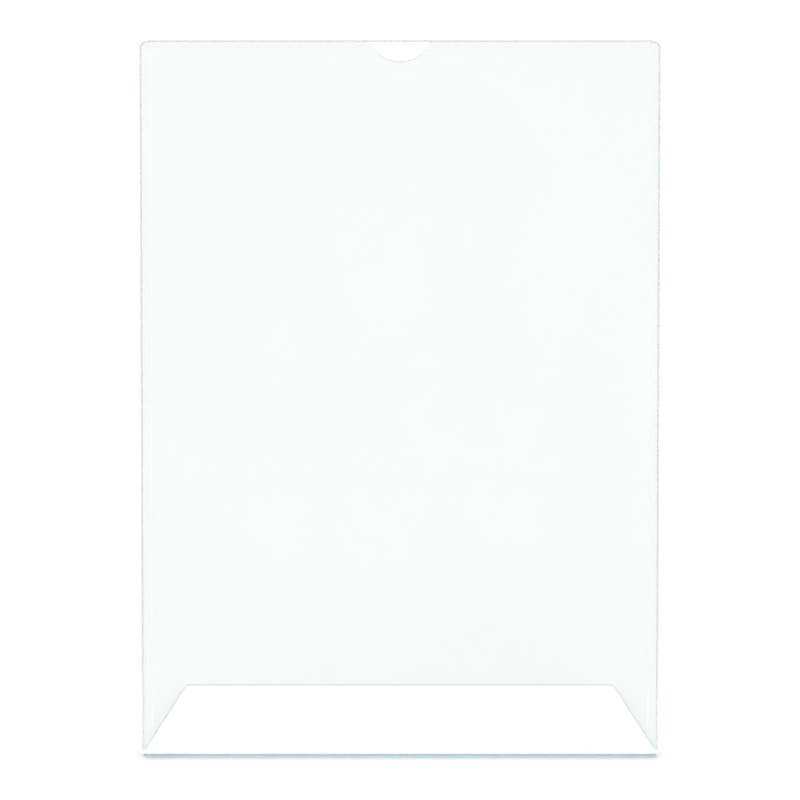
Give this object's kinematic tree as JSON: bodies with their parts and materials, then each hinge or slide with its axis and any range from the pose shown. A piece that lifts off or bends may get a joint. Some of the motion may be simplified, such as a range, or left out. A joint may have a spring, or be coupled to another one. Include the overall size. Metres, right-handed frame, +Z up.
{
  "type": "tabletop guard and sign holder",
  "caption": "Clear acrylic L-shaped tabletop guard: an upright two-sheet pocket, open at the top with a finger notch, leaning back a little on a flat base plate behind it.",
  "frame": {"origin": "middle of the base plate's underside, on the surface the object stands on", "axes": "+Z up, the readable front faces -Y, +X to the right of somebody who faces the front"},
  "size_m": [0.2196, 0.085, 0.3045],
  "materials": {
    "clear_panel": "clear cast acrylic sheet, glossy both faces, edges diamond polished",
    "clear_strip": "clear acrylic spacer strip, outer edge polished flush with the panels",
    "clear_base": "clear cast acrylic sheet, glossy both faces, edges diamond polished"
  },
  "bodies": {
    "root": {"front_panel": "clear_panel", "back_panel": "clear_panel", "left_side_strip": "clear_strip", "right_side_strip": "clear_strip", "bottom_strip": "clear_strip", "base_plate": "clear_base"}
  },
  "joints": []
}
